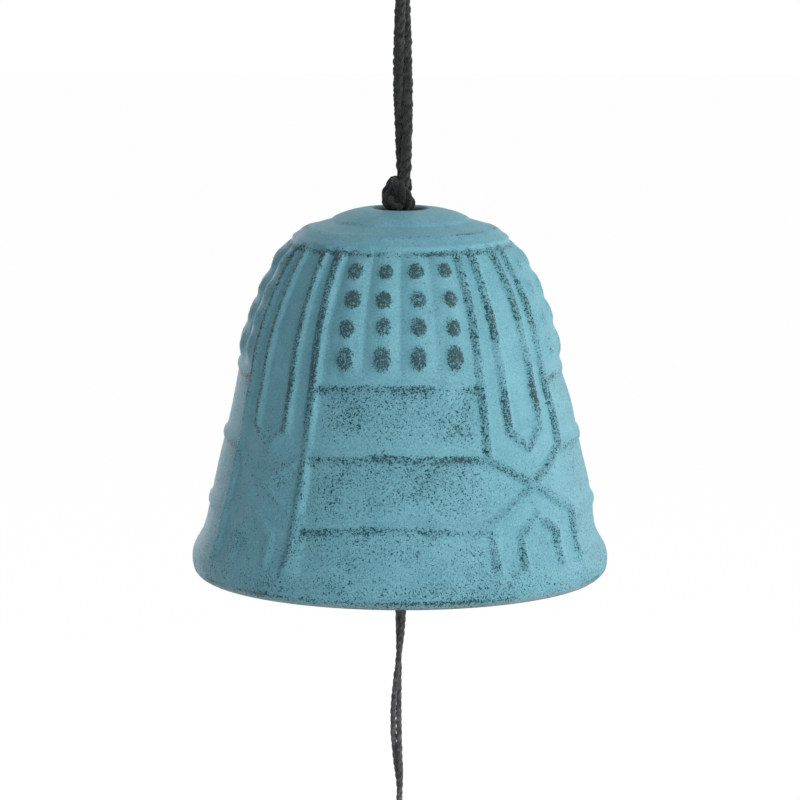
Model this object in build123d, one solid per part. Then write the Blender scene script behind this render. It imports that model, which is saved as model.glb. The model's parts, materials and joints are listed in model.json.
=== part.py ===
"""Furin wind bell: a small cast iron bell on a doubled cord, with its clapper and its paper wind strip.

The origin is where the hook carries the cord's eye, and everything hangs below it along Z.
"""
import os
from math import acos, atan2, cos, degrees, hypot, radians, sin, sqrt, tan

from build123d import *

# Cord: one leg of the loop, the twisted stretches and the knots
hook_diameter = 7.0
leg_diameter = 1.5
eye_height = 15.0
cord_end_diameter = 2.6
cord_middle_diameter = 3.3
hanging_cord_length = 30.6
crown_knot_diameter = 5.3
crown_knot_height = 5.4
crown_knot_sink = 0.5
crown_knot_radius_shares = (0.8, 1.0, 1.0)
crown_knot_height_shares = (0.68, 0.46, 0.2)
knot_belt_share = 0.42
neck_cord_diameter = 2.6
stop_knot_diameter = 6.8
thin_cord_diameter = 1.9
clapper_knot_diameter = 4.8
strip_knot_diameter = 4.0
strand_diameter = 1.0
cord_sides = 10
moving_clearance = 0.3

# Bell: its main radii, with heights as shares of the whole height above the rim
bell_height = 57.5
hole_diameter = 8.2
hole_round = 0.5
crown_disc_radius = 10.5
crown_disc_drop = 1.5
crown_disc_step = 0.45
cap_radius = 16.6
cap_drop = 4.4
cap_step = 0.6
cap_start_angle = 12.0
shoulder_radius = 21.3
waist_radius = 25.0
flare_radius = 30.4
lip_radius = 32.7
rim_width = 3.2
rim_round = 0.6
rim_tuck = 0.45
wall = 2.8
crown_thickness = 3.4
shoulder_height_share = 0.783
waist_height_share = 0.57
flare_height_share = 0.15
lip_top_height_share = 0.09
lip_height_share = 0.045
lip_top_share = 0.62

# Raised ornament of the bell: boss panels with bands of lines between them
panel_count = 4
line_rise = 0.45
line_sink = 0.6
line_width = 1.3
line_angle = 3.0
band_edge_angle = 16.0
band_inner_angle = 7.3
arrow_side_height_share = 0.445
arrow_point_height_share = 0.397
crossing_top_height_share = 0.39
crossing_foot_height_share = 0.219
leg_foot_height_share = 0.092
gable_side_height_share = 0.172
gable_top_height_share = 0.22
ridge_width = 1.5
ridge_height_shares = (0.57, 0.383, 0.203)
boss_radius = 1.35
boss_rise = 0.75
boss_crest_share = 0.5
boss_sides = 8
boss_column_angles = (6.6, 20.0)
boss_row_shares = (0.17, 0.385, 0.59, 0.81)
boss_size_shares = (0.92, 1.0, 1.0, 1.12)

# Washer, clapper and paper strip
washer_diameter = 13.0
washer_hole_diameter = 4.4
washer_thickness = 1.0
washer_seat_margin = 2.0
clapper_diameter = 21.0
clapper_thickness = 4.4
clapper_edge_thickness = 2.8
clapper_bevel = 0.9
clapper_hole_clearance = 0.35
clapper_height = 8.5
strip_knot_drop = 40.0
strip_tie_length = 6.0
strip_width = 38.0
strip_length = 98.0
strip_thickness = 0.3
strip_hole_diameter = 4.0
strip_hole_margin = 5.0


def shoulder_rise(radius, cord_diameter, seat_radius):
    """How far a knot's sloped shoulder stands above its middle at the edge of the hole it carries."""
    cord_radius = cord_diameter / 2
    top = sqrt(radius**2 - cord_radius**2)
    fall_share = (seat_radius - cord_radius) / (radius - cord_radius)
    return top - fall_share * (top - knot_belt_share * radius)


# Levels of the main seats, worked down from the hook
cord_top = -eye_height
knot_top = cord_top - hanging_cord_length
knot_foot = knot_top - crown_knot_height
crown_top = knot_foot + crown_knot_sink
crown_ceiling = crown_top - crown_thickness
rim_level = crown_top - bell_height
washer_foot = crown_ceiling - washer_thickness
hole_radius = hole_diameter / 2
washer_hole_radius = washer_hole_diameter / 2
stop_knot_radius = stop_knot_diameter / 2
stop_knot_rise = shoulder_rise(stop_knot_radius, neck_cord_diameter, washer_hole_radius)
stop_knot_level = washer_foot - moving_clearance - stop_knot_rise
clapper_hole_radius = thin_cord_diameter / 2 + clapper_hole_clearance
clapper_knot_radius = clapper_knot_diameter / 2
clapper_foot = rim_level + clapper_height - clapper_thickness / 2
clapper_knot_rise = shoulder_rise(clapper_knot_radius, thin_cord_diameter, clapper_hole_radius)
clapper_knot_level = clapper_foot - clapper_knot_rise
strip_knot_radius = strip_knot_diameter / 2
strip_knot_level = rim_level - strip_knot_drop
tie_top = strip_knot_level - strip_knot_radius
tie_foot = tie_top - strip_tie_length


def side(radius, level):
    """A point of a half outline, which lies in the XZ plane."""
    return Vector(radius, 0, level)


def turned(*edges, arc=360):
    """A solid turned about Z from a closed half outline, with the middle of its arc on the X axis."""
    return Rot(0, 0, -arc / 2) * revolve(make_face(list(edges)), axis=Axis.Z, revolution_arc=arc)


def upright_cord(diameter, top, foot):
    """A straight round stretch of cord on the Z axis."""
    reach = diameter / 2
    corners = [side(0, foot), side(reach, foot), side(reach, top), side(0, top)]
    return turned(Polyline(*corners, close=True))


def round_knot(radius, level, upper_diameter, lower_diameter):
    """A knot drawn up tight round its belt, cut flat where the cords meet it."""
    upper = side(upper_diameter / 2, level + sqrt(radius**2 - (upper_diameter / 2) ** 2))
    lower = side(lower_diameter / 2, level - sqrt(radius**2 - (lower_diameter / 2) ** 2))
    belt_top = side(radius, level + knot_belt_share * radius)
    belt_foot = side(radius, level - knot_belt_share * radius)
    corners = [side(0, lower.Z), lower, belt_foot, belt_top, upper, side(0, upper.Z)]
    return turned(Polyline(*corners, close=True))


# Hanging cord: the eye on the hook, the twisted legs below it and the knot on the crown
def hanging_eye():
    leg_radius = leg_diameter / 2
    turn_radius = hook_diameter / 2 + leg_radius
    turn_level = -hook_diameter / 2
    foot = side(leg_radius + moving_clearance / 2, cord_top + cord_end_diameter / 2 + moving_clearance)
    drop = turn_level - foot.Z
    touch_angle = atan2(foot.X, drop) + acos(turn_radius / hypot(foot.X, drop))
    touch = side(turn_radius * sin(touch_angle), turn_level - turn_radius * cos(touch_angle))
    far_foot = side(-foot.X, foot.Z)
    far_touch = side(-touch.X, touch.Z)
    top = side(0, turn_level + turn_radius)
    path = Wire([Line(far_foot, far_touch), ThreePointArc(far_touch, top, touch), Line(touch, foot)])
    section = Plane(path @ 0, z_dir=path % 0) * RegularPolygon(leg_radius, cord_sides)
    print(f"eye: turn radius {turn_radius:.2f}, length {path.length:.2f}")
    return sweep(section, path=path)


def hanging_cord():
    end_radius = cord_end_diameter / 2
    top = side(end_radius, cord_top)
    foot = side(end_radius, knot_top)
    belly = side(cord_middle_diameter / 2, (cord_top + knot_top) / 2)
    return turned(
        Line(side(0, knot_top), foot),
        ThreePointArc(foot, belly, top),
        TangentArc(top, side(0, cord_top + end_radius), tangent=side(0, 1)),
        Line(side(0, cord_top + end_radius), side(0, knot_top)),
    )


def crown_knot():
    corners = [side(0, knot_top), side(cord_end_diameter / 2, knot_top)]
    for radius_share, height_share in zip(crown_knot_radius_shares, crown_knot_height_shares):
        reach = radius_share * crown_knot_diameter / 2
        corners.append(side(reach, knot_foot + height_share * crown_knot_height))
    corners += [side(neck_cord_diameter / 2, knot_foot), side(0, knot_foot)]
    return turned(Polyline(*corners, close=True))


# Bell: one iron casting, turned from its half outline, with the ornament raised on its outer face
def at_height(radius, height_share):
    """A point of the bell's half outline, by its share of the bell's height above the rim."""
    return side(radius, rim_level + height_share * bell_height)


shoulder_top = side(cap_radius, crown_top - cap_drop - cap_step)
lip_top_radius = flare_radius + lip_top_share * (lip_radius - flare_radius)


def outer_wall(rise):
    """The shoulder, flare and upper lip of the bell's outer face, raised by the given amount."""
    shoulder = ThreePointArc(
        shoulder_top + side(rise, 0),
        at_height(shoulder_radius + rise, shoulder_height_share),
        at_height(waist_radius + rise, waist_height_share),
    )
    flare = Line(shoulder @ 1, at_height(flare_radius + rise, flare_height_share))
    lip_top = at_height(lip_top_radius + rise, lip_top_height_share)
    lip = TangentArc(flare @ 1, lip_top, tangent=flare % 1)
    return [shoulder, flare, lip]


def plain_share(arc):
    """One share of the casting without its ornament: crown, cap, wall and flared lip, hollow below."""
    hole_foot = side(hole_radius, crown_ceiling)
    hole_top = side(hole_radius, crown_top - hole_round)
    crown_inner = side(hole_radius + hole_round, crown_top)
    disc_edge = side(crown_disc_radius, crown_top - crown_disc_drop)
    disc_foot = disc_edge + side(crown_disc_step, -crown_disc_step)
    cap_edge = side(cap_radius, crown_top - cap_drop)
    cap_direction = side(cos(radians(cap_start_angle)), -sin(radians(cap_start_angle)))
    shoulder, flare, lip = outer_wall(0)
    rim_edge = side(lip_radius - rim_tuck, rim_level + rim_round)
    rim_outer = side(rim_edge.X - rim_round, rim_level)
    rim_inner = side(lip_radius - rim_width, rim_level)
    flare_inner = at_height(flare_radius - wall, flare_height_share)
    waist_inner = at_height(waist_radius - wall, waist_height_share)
    halfway = 1 / 2
    along = shoulder % halfway
    shoulder_inner = shoulder @ halfway - side(-along.Z, along.X).normalized() * wall
    seat_edge = side(washer_diameter / 2 + washer_seat_margin, crown_ceiling)
    return turned(
        Line(hole_foot, hole_top),
        TangentArc(hole_top, crown_inner, tangent=side(0, 1)),
        TangentArc(crown_inner, disc_edge, tangent=side(1, 0)),
        Line(disc_edge, disc_foot),
        TangentArc(disc_foot, cap_edge, tangent=cap_direction),
        Line(cap_edge, shoulder_top),
        shoulder,
        flare,
        lip,
        ThreePointArc(lip @ 1, at_height(lip_radius, lip_height_share), rim_edge),
        Line(rim_edge, rim_outer),
        Line(rim_outer, rim_inner),
        Line(rim_inner, flare_inner),
        Line(flare_inner, waist_inner),
        ThreePointArc(waist_inner, shoulder_inner, seat_edge),
        Line(seat_edge, hole_foot),
        arc=arc,
    )


def sector(angle, half_angle, low_share, high_share):
    """A wedge about the bell's axis between two heights, to cut an upright line or a level ridge."""
    reach = 2 * lip_radius
    low = rim_level + low_share * bell_height
    high = rim_level + high_share * bell_height
    corners = [(0, 0)]
    for turn in (angle - half_angle, angle + half_angle):
        corners.append((reach * cos(radians(turn)), reach * sin(radians(turn))))
    plan = make_face(Polyline(*corners, close=True))
    return extrude(Pos(0, 0, low) * plan, amount=high - low)


def slanted_bar(start_angle, start_share, end_angle, end_share):
    """A bar that stands out along X, to cut a slanted line on the flare."""

    def on_flare(angle, share):
        fall = (waist_height_share - share) / (waist_height_share - flare_height_share)
        radius = waist_radius + fall * (flare_radius - waist_radius)
        return Vector(radius * sin(radians(angle)), rim_level + share * bell_height)

    start = on_flare(start_angle, start_share)
    end = on_flare(end_angle, end_share)
    middle = (start + end) / 2
    run = end - start
    bar = Rectangle(run.length + line_width, line_width)
    place = Plane.YZ * Pos(middle.X, middle.Y) * Rot(0, 0, degrees(atan2(run.Y, run.X)))
    return extrude(place * bar, amount=2 * lip_radius)


def band_lines():
    """The lines of one band, about the X axis: arrow, panel edges, crossing, legs and gable."""
    top_share = (shoulder_top.Z - rim_level) / bell_height
    half = line_angle / 2
    cutters = []
    for hand in (-1, 1):
        edge = hand * band_edge_angle
        inner = hand * band_inner_angle
        cutters += [
            sector(edge, half, crossing_top_height_share, top_share),
            sector(edge, half, leg_foot_height_share, crossing_foot_height_share),
            sector(inner, half, arrow_side_height_share, top_share),
            sector(inner, half, leg_foot_height_share, gable_side_height_share),
            slanted_bar(inner, arrow_side_height_share, 0, arrow_point_height_share),
            slanted_bar(edge, crossing_top_height_share, -edge, crossing_foot_height_share),
            slanted_bar(inner, gable_side_height_share, 0, gable_top_height_share),
        ]
    return cutters


def panel_ridges(half_arc):
    """The level ridges of the half panels on both sides of one band."""
    half_span = (half_arc - band_edge_angle) / 2
    half_ridge_share = ridge_width / bell_height / 2
    ridges = []
    for share in ridge_height_shares:
        foot_share = share - half_ridge_share
        top_share = share + half_ridge_share
        for hand in (-1, 1):
            ridges.append(sector(hand * (half_arc - half_span), half_span, foot_share, top_share))
    return ridges


def panel_bosses(half_arc):
    """The bosses of the half panels on both sides of one band, growing towards the waist."""
    shoulder = outer_wall(0)[0]
    bosses = []
    for row_share, size_share in zip(boss_row_shares, boss_size_shares):
        along = shoulder % row_share
        seat = Plane(shoulder @ row_share, z_dir=side(-along.Z, along.X))
        base = boss_radius * size_share
        lean = degrees(atan2(base * (1 - boss_crest_share), boss_rise))
        root = base + line_sink * tan(radians(lean))
        outline = Pos(0, 0, -line_sink) * RegularPolygon(root, boss_sides)
        boss = seat * extrude(outline, amount=line_sink + boss_rise, taper=lean)
        for column_angle in boss_column_angles:
            bosses.append(Rot(0, 0, half_arc - column_angle) * boss)
            bosses.append(Rot(0, 0, column_angle - half_arc) * boss)
    return bosses


def bell_shell():
    """The whole casting, from equal shares that each hold one band and a half panel on either side."""
    arc = 360 / panel_count
    raised = outer_wall(line_rise)
    sunk = outer_wall(-line_sink)
    ends = [Line(raised[0] @ 0, sunk[0] @ 0), Line(raised[-1] @ 1, sunk[-1] @ 1)]
    skin = turned(*raised, *sunk, *ends, arc=arc)
    lines = [skin & cutter for cutter in band_lines() + panel_ridges(arc / 2)]
    ornamented = plain_share(arc).fuse(*lines).fuse(*panel_bosses(arc / 2))
    shares = [Rot(0, 0, arc * (turn + 1 / 2)) * ornamented for turn in range(panel_count)]
    return shares[0].fuse(*shares[1:])


# Washer under the crown, and the knot that carries it
def crown_washer():
    corners = [
        side(washer_hole_radius, washer_foot),
        side(washer_diameter / 2, washer_foot),
        side(washer_diameter / 2, crown_ceiling),
        side(washer_hole_radius, crown_ceiling),
    ]
    return turned(Polyline(*corners, close=True))


# Clapper: a domed iron disc that hangs on a knot near the rim
def clapper():
    reach = clapper_diameter / 2
    level = rim_level + clapper_height
    half_edge = clapper_edge_thickness / 2
    corners = [
        side(clapper_hole_radius, clapper_foot),
        side(clapper_hole_radius, level + clapper_thickness / 2),
        side(reach - clapper_bevel, level + half_edge),
        side(reach, level + half_edge - clapper_bevel),
        side(reach, level - half_edge + clapper_bevel),
        side(reach - clapper_bevel, level - half_edge),
    ]
    return turned(Polyline(*corners, close=True))


# Paper strip on its small loop of cord
def strip_tie():
    strand_radius = strand_diameter / 2
    turn_radius = strand_radius + strip_thickness / 2 + moving_clearance
    turn_level = tie_foot + turn_radius
    front_top = Vector(0, -turn_radius, tie_top)
    back_top = Vector(0, turn_radius, tie_top)
    front = Vector(0, -turn_radius, turn_level)
    back = Vector(0, turn_radius, turn_level)
    turn = ThreePointArc(front, Vector(0, 0, tie_foot), back)
    path = Wire([Line(front_top, front), turn, Line(back, back_top)])
    section = Plane(path @ 0, z_dir=path % 0) * RegularPolygon(strand_radius, cord_sides)
    print(f"tie: turn radius {turn_radius:.2f}, length {path.length:.2f}")
    return sweep(section, path=path)


def wind_strip():
    hole_level = tie_foot + strand_diameter / 2 - strip_hole_diameter / 2
    top_level = hole_level + strip_hole_margin
    sheet = Plane.XZ * Pos(0, top_level - strip_length / 2) * Rectangle(strip_width, strip_length)
    hole = Plane.XZ * Pos(0, hole_level) * Circle(strip_hole_diameter / 2)
    return extrude(sheet - hole, amount=strip_thickness / 2, both=True)


neck_top = knot_foot
neck_foot = stop_knot_level + sqrt(stop_knot_radius**2 - (neck_cord_diameter / 2) ** 2)
clapper_cord_top = stop_knot_level - stop_knot_radius - moving_clearance
clapper_cord_foot = clapper_knot_level + sqrt(clapper_knot_radius**2 - (thin_cord_diameter / 2) ** 2)
tail_top = clapper_knot_level - clapper_knot_radius - moving_clearance
tail_foot = strip_knot_level + sqrt(strip_knot_radius**2 - (thin_cord_diameter / 2) ** 2)
pieces = {
    "hanging_eye": hanging_eye(),
    "hanging_cord": hanging_cord(),
    "crown_knot": crown_knot(),
    "neck_cord": upright_cord(neck_cord_diameter, neck_top, neck_foot),
    "stop_knot": round_knot(stop_knot_radius, stop_knot_level, neck_cord_diameter, thin_cord_diameter),
    "crown_washer": crown_washer(),
    "bell_shell": bell_shell(),
    "clapper_cord": upright_cord(thin_cord_diameter, clapper_cord_top, clapper_cord_foot),
    "clapper": clapper(),
    "clapper_knot": round_knot(
        clapper_knot_radius, clapper_knot_level, thin_cord_diameter, thin_cord_diameter
    ),
    "tail_cord": upright_cord(thin_cord_diameter, tail_top, tail_foot),
    "strip_knot": round_knot(strip_knot_radius, strip_knot_level, thin_cord_diameter, strand_diameter),
    "strip_tie": strip_tie(),
    "wind_strip": wind_strip(),
}

os.makedirs("parts", exist_ok=True)
for node, piece in pieces.items():
    export_step(piece, f"parts/{node}.step")
print(f"stop knot {stop_knot_level:.3f}, clapper knot {clapper_knot_level:.3f}, rim {rim_level:.3f}")
print(f"strip knot {strip_knot_level:.3f}, tie foot {tie_foot:.3f}, crown {crown_top:.3f}")
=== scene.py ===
import json
from math import atan2, cos, pi, radians, sin

import bpy
import numpy as np
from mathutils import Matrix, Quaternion, Vector


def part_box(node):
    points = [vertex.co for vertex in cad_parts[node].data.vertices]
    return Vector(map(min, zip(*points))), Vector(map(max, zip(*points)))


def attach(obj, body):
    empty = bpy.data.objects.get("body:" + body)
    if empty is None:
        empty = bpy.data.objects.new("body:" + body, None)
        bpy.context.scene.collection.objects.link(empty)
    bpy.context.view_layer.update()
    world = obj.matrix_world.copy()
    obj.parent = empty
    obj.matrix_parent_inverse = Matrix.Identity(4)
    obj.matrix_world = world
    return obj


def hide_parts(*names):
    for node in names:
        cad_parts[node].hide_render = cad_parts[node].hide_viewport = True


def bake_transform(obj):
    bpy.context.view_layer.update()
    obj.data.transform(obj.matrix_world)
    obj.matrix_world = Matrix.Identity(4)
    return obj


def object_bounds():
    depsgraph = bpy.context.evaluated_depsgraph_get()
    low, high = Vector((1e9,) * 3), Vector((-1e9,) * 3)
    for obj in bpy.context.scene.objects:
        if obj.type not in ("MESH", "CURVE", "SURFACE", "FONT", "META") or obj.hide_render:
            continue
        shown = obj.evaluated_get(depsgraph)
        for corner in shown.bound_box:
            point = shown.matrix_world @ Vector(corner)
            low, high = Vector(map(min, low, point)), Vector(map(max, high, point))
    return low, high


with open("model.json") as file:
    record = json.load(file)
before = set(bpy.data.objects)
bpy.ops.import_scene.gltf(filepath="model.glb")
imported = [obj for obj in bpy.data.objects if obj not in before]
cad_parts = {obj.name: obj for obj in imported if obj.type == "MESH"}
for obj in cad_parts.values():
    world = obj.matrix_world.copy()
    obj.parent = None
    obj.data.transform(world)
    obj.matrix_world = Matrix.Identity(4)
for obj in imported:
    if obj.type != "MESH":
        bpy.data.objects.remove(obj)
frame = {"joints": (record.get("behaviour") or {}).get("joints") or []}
cad_box = [list(corner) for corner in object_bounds()]

# Studio: the bell hangs in a white room over a pale floor, a little below the camera's eye.
# A large soft lamp stands to the right in front. Four weaker ones and the white room fill the shadows.
camera_place = Vector((0, -0.6328, 0.0149))
camera_target = Vector((0, 0, -0.0808))
camera_lens_mm = 183.6
camera_roll = radians(0.2)
camera_near = 0.01
camera = bpy.data.objects.new("camera", bpy.data.cameras.new("camera"))
camera.data.lens = camera_lens_mm
camera.data.clip_start = camera_near
camera.location = camera_place
camera.rotation_mode = "QUATERNION"
camera_way = (camera_target - camera_place).to_track_quat("-Z", "Y")
camera.rotation_quaternion = camera_way @ Quaternion((0, 0, 1), camera_roll)
bpy.context.scene.collection.objects.link(camera)
bpy.context.scene.camera = camera
bpy.context.scene.view_settings.view_transform = "Standard"


def wire(tree, source, target):
    """Joins an output to an input, each given as a node and a socket's name or number."""
    tree.links.new(source[0].outputs[source[1]], target[0].inputs[target[1]])


def maths(tree, operation, *values):
    """A Math node in a tree: each value is a number, or a node and its output."""
    node = tree.nodes.new("ShaderNodeMath")
    node.operation = operation
    for number, value in enumerate(values):
        if isinstance(value, tuple):
            wire(tree, value, (node, number))
        else:
            node.inputs[number].default_value = value
    return (node, "Value")


def seen_instead(tree, seen, given, output, share=1):
    """Shows one shader, by a share, to the camera, mirrors and glass, while the other gives the light."""
    rays = tree.nodes.new("ShaderNodeLightPath")
    looked_at = maths(tree, "MAXIMUM", (rays, "Is Camera Ray"), (rays, "Is Glossy Ray"))
    looked_at = maths(tree, "MAXIMUM", looked_at, (rays, "Is Transmission Ray"))
    mix = tree.nodes.new("ShaderNodeMixShader")
    wire(tree, maths(tree, "MULTIPLY", looked_at, share), (mix, 0))
    wire(tree, (given, 0), (mix, 1))
    wire(tree, (seen, 0), (mix, 2))
    wire(tree, (mix, 0), (tree.nodes.new(output), "Surface"))


room_light = (0.97, 0.93, 1.06, 1)
room_strength = 0.205
world = bpy.data.worlds.new("white room")
world.use_nodes = True
bpy.context.scene.world = world
room = world.node_tree
room.nodes.clear()
room_seen = room.nodes.new("ShaderNodeBackground")
room_seen.inputs["Color"].default_value = (1, 1, 1, 1)
room_given = room.nodes.new("ShaderNodeBackground")
room_given.inputs["Color"].default_value = room_light
room_given.inputs["Strength"].default_value = room_strength
seen_instead(room, room_seen, room_given, "ShaderNodeOutputWorld")

floor_reach = 4.0
floor_drop = 0.06
floor_grey = (0.9, 0.9, 0.9, 1)
floor_whiteness = 0.93
floor_glow = 1.05
floor_level = cad_box[0][2] - floor_drop
floor_corners = [
    (x * floor_reach, y * floor_reach, floor_level) for x, y in ((-1, -1), (1, -1), (1, 1), (-1, 1))
]
floor_mesh = bpy.data.meshes.new("floor")
floor_mesh.from_pydata(floor_corners, [], [(0, 1, 2, 3)])
floor = bpy.data.objects.new("floor", floor_mesh)
bpy.context.scene.collection.objects.link(floor)
floor_paint = bpy.data.materials.new("floor paint")
floor_paint.use_nodes = True
ground = floor_paint.node_tree
ground.nodes.clear()
ground_matt = ground.nodes.new("ShaderNodeBsdfDiffuse")
ground_matt.inputs["Color"].default_value = floor_grey
ground_white = ground.nodes.new("ShaderNodeEmission")
ground_white.inputs["Strength"].default_value = floor_glow
seen_instead(ground, ground_white, ground_matt, "ShaderNodeOutputMaterial", floor_whiteness)
floor_mesh.materials.append(floor_paint)


def soft_lamp(name, place, width, power, target=camera_target, colour=(1, 1, 1)):
    """A square soft lamp that faces a place on the bell or below it."""
    lamp = bpy.data.objects.new(name, bpy.data.lights.new(name, "AREA"))
    lamp.data.size = width
    lamp.data.energy = power
    lamp.data.color = colour
    lamp.location = place
    lamp.rotation_mode = "QUATERNION"
    lamp.rotation_quaternion = (target - lamp.location).to_track_quat("-Z", "Y")
    bpy.context.scene.collection.objects.link(lamp)


strip_target = Vector((0, 0, -0.2))
soft_lamp("right lamp", place=(0.62, -0.5, 0.22), width=0.55, power=3.85, colour=(1, 0.98, 0.95))
soft_lamp("low lamp", place=(0.2, -0.75, -0.22), width=0.5, power=2.2, target=strip_target)
soft_lamp("edge lamp", place=(0.75, 0.35, 0.05), width=0.5, power=2.3)
soft_lamp("top lamp", place=(-0.1, -0.25, 0.75), width=0.6, power=1.15)
soft_lamp("back lamp", place=(-0.4, 0.75, -0.05), width=0.6, power=1.7, colour=(0.95, 0.97, 1))

# Hanging cord: one charcoal cord doubled over the hook, so an eye stands over two legs.
# It is laid up from plies of dull spun fibre, and the legs turn slowly round each other
# down to the knot on the crown.
leg_diameter = 0.00176
leg_radius = leg_diameter / 2
leg_offset = 0.00066
ply_radius = 0.00046
hang_turns = 0.43
hang_start = 0.03
hang_sizes = dict(
    plies=4,
    ply_offset=leg_radius - ply_radius,
    ply_radius=ply_radius,
    ply_pitch=0.0064,
    spacing=0.00022,
    unevenness=0.55,
)
single_leg = dict(legs=1, leg_offset=0.0, leg_turns=0.0)
route_steps = 16
ply_sides = 10
lump_scale = 1300
lump_detail = 1


def smooth_route(name, points):
    """The line of a spline with given points, as a mesh of edges."""
    curve = bpy.data.curves.new(name, "CURVE")
    curve.dimensions = "3D"
    curve.resolution_u = route_steps
    spline = curve.splines.new("NURBS")
    spline.points.add(len(points) - 1)
    for point, place in zip(spline.points, points):
        point.co = (*place, 1)
    spline.order_u = 3
    spline.use_endpoint_u = True
    holder = bpy.data.objects.new(name, curve)
    bpy.context.scene.collection.objects.link(holder)
    bpy.context.view_layer.update()
    line = bpy.data.meshes.new_from_object(holder)
    bpy.data.objects.remove(holder)
    return line


lay_tree = bpy.data.node_groups.new("laid cord", "GeometryNodeTree")
for socket_name, socket_type in (
    ("Route", "NodeSocketGeometry"),
    ("Legs", "NodeSocketInt"),
    ("Leg Offset", "NodeSocketFloat"),
    ("Leg Turns", "NodeSocketFloat"),
    ("Leg Start", "NodeSocketFloat"),
    ("Plies", "NodeSocketInt"),
    ("Ply Offset", "NodeSocketFloat"),
    ("Ply Pitch", "NodeSocketFloat"),
    ("Ply Radius", "NodeSocketFloat"),
    ("Spacing", "NodeSocketFloat"),
    ("Unevenness", "NodeSocketFloat"),
    ("Material", "NodeSocketMaterial"),
):
    lay_tree.interface.new_socket(socket_name, in_out="INPUT", socket_type=socket_type)
lay_tree.interface.new_socket("Cord", in_out="OUTPUT", socket_type="NodeSocketGeometry")
lay_in = lay_tree.nodes.new("NodeGroupInput")
lay_out = lay_tree.nodes.new("NodeGroupOutput")
lay_line = lay_tree.nodes.new("GeometryNodeMeshToCurve")
lay_steps = lay_tree.nodes.new("GeometryNodeResampleCurve")
lay_steps.mode = "LENGTH"
lay_copies = lay_tree.nodes.new("GeometryNodeDuplicateElements")
lay_copies.domain = "SPLINE"
lay_along = lay_tree.nodes.new("GeometryNodeSplineParameter")
lay_tangent = lay_tree.nodes.new("GeometryNodeInputTangent")
lay_normal = lay_tree.nodes.new("GeometryNodeInputNormal")


def lay_vector(operation, first, second):
    """A Vector Math node in the lay: the second value is a vector, or the number of a Scale."""
    node = lay_tree.nodes.new("ShaderNodeVectorMath")
    node.operation = operation
    wire(lay_tree, first, (node, 0))
    wire(lay_tree, second, (node, "Scale" if operation == "SCALE" else 1))
    return (node, 0)


def lay_mark(geometry, mark, field):
    """Keeps a value on each point under a name, for the pattern of the fibre."""
    store = lay_tree.nodes.new("GeometryNodeStoreNamedAttribute")
    store.data_type = "FLOAT"
    store.domain = "POINT"
    store.inputs["Name"].default_value = mark
    wire(lay_tree, geometry, (store, "Geometry"))
    wire(lay_tree, field, (store, "Value"))
    return (store, "Geometry")


lay_binormal = lay_vector("CROSS_PRODUCT", (lay_tangent, 0), (lay_normal, 0))


def lay_round(turns, radius):
    """The offset of a strand that lies off the route by a radius, in the plane across the route."""
    angle = maths(lay_tree, "MULTIPLY", turns, 2 * pi)
    parts = []
    for operation, direction in (("COSINE", (lay_normal, 0)), ("SINE", lay_binormal)):
        reach = maths(lay_tree, "MULTIPLY", maths(lay_tree, operation, angle), radius)
        parts.append(lay_vector("SCALE", direction, reach))
    return lay_vector("ADD", *parts)


lay_strands = maths(lay_tree, "MULTIPLY", (lay_in, "Legs"), (lay_in, "Plies"))
wire(lay_tree, (lay_in, "Route"), (lay_line, "Mesh"))
wire(lay_tree, (lay_line, "Curve"), (lay_steps, "Curve"))
wire(lay_tree, (lay_in, "Spacing"), (lay_steps, "Length"))
wire(lay_tree, (lay_steps, "Curve"), (lay_copies, "Geometry"))
wire(lay_tree, lay_strands, (lay_copies, "Amount"))
lay_number = (lay_copies, "Duplicate Index")
lay_leg = maths(lay_tree, "MODULO", lay_number, (lay_in, "Legs"))
lay_leg_share = maths(lay_tree, "DIVIDE", lay_leg, (lay_in, "Legs"))
lay_leg_twist = maths(lay_tree, "MULTIPLY", (lay_along, "Factor"), (lay_in, "Leg Turns"))
lay_leg_turn = maths(lay_tree, "ADD", lay_leg_share, lay_leg_twist)
lay_leg_turn = maths(lay_tree, "ADD", lay_leg_turn, (lay_in, "Leg Start"))
lay_ply = maths(lay_tree, "FLOOR", maths(lay_tree, "DIVIDE", lay_number, (lay_in, "Legs")))
lay_ply_share = maths(lay_tree, "DIVIDE", lay_ply, (lay_in, "Plies"))
lay_ply_twist = maths(lay_tree, "DIVIDE", (lay_along, "Length"), (lay_in, "Ply Pitch"))
lay_ply_turn = maths(lay_tree, "ADD", maths(lay_tree, "ADD", lay_ply_share, lay_ply_twist), lay_leg_share)
lay_leg_place = lay_round(lay_leg_turn, (lay_in, "Leg Offset"))
lay_ply_place = lay_round(lay_ply_turn, (lay_in, "Ply Offset"))
lay_lines = lay_mark((lay_copies, "Geometry"), "along", (lay_along, "Length"))
lay_place = lay_tree.nodes.new("GeometryNodeSetPosition")
wire(lay_tree, lay_lines, (lay_place, "Geometry"))
wire(lay_tree, lay_vector("ADD", lay_leg_place, lay_ply_place), (lay_place, "Offset"))
lay_profile = lay_tree.nodes.new("GeometryNodeCurvePrimitiveCircle")
lay_profile.inputs["Resolution"].default_value = ply_sides
lay_ring = lay_mark((lay_profile, "Curve"), "around", (lay_along, "Factor"))
lay_lumps = lay_tree.nodes.new("ShaderNodeTexNoise")
lay_lumps.inputs["Scale"].default_value = lump_scale
lay_lumps.inputs["Detail"].default_value = lump_detail
lay_swell = maths(lay_tree, "MULTIPLY_ADD", (lay_lumps, "Fac"), 2.0, -1.0)
lay_swell = maths(lay_tree, "MULTIPLY_ADD", lay_swell, (lay_in, "Unevenness"), 1.0)
lay_tube = lay_tree.nodes.new("GeometryNodeCurveToMesh")
lay_tube.inputs["Fill Caps"].default_value = True
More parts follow.
